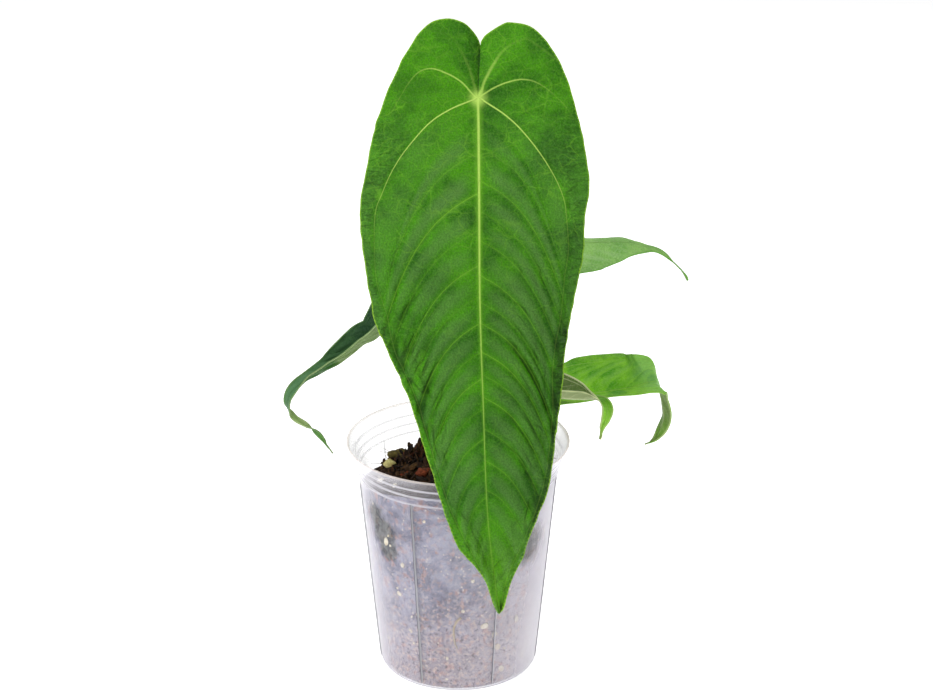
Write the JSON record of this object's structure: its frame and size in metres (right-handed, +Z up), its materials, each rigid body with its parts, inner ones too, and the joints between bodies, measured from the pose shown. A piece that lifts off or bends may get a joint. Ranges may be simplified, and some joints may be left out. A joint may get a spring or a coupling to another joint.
{
  "type": "potted anthurium",
  "caption": "Foliage anthurium in a clear nursery pot: one long heart-shaped leaf held upright in front, and smaller narrow leaves with drooping tips on thin stalks.",
  "frame": {"origin": "centre of the flat underside of the pot", "axes": "+Z up; the big leaf hangs towards -Y; +X to the right as seen from the front"},
  "size_m": [0.2195, 0.1531, 0.3576],
  "materials": {
    "pot_plastic": "clear soft plastic, slightly hazy",
    "potting_mix": "coarse moist bark and moss, matte",
    "crown": "fibrous, matte",
    "bark_red": "rough bark",
    "bark_olive": "rough bark",
    "pumice": "porous, matte",
    "bract": "dry, papery",
    "petiole": "smooth, slightly waxy",
    "leaf_green": "velvety, soft sheen",
    "leaf_dark": "velvety, soft sheen",
    "leaf_pale": "velvety, soft sheen",
    "leaf_olive": "matte underside"
  },
  "bodies": {
    "root": {"pot": "pot_plastic", "substrate": "potting_mix", "crown": "crown", "bark_chip_red": "bark_red", "bark_chip_olive": "bark_olive", "pumice_pebble": "pumice", "bract_1": "bract", "bract_2": "bract", "bract_3": "bract", "petiole_front": "petiole", "blade_front": "leaf_green", "petiole_left": "petiole", "blade_left": "leaf_dark", "petiole_right_high": "petiole", "blade_right_high": "leaf_pale", "petiole_right_back": "petiole", "blade_right_back": "leaf_green", "petiole_right_front": "petiole", "blade_right_front": "leaf_olive"}
  },
  "joints": []
}
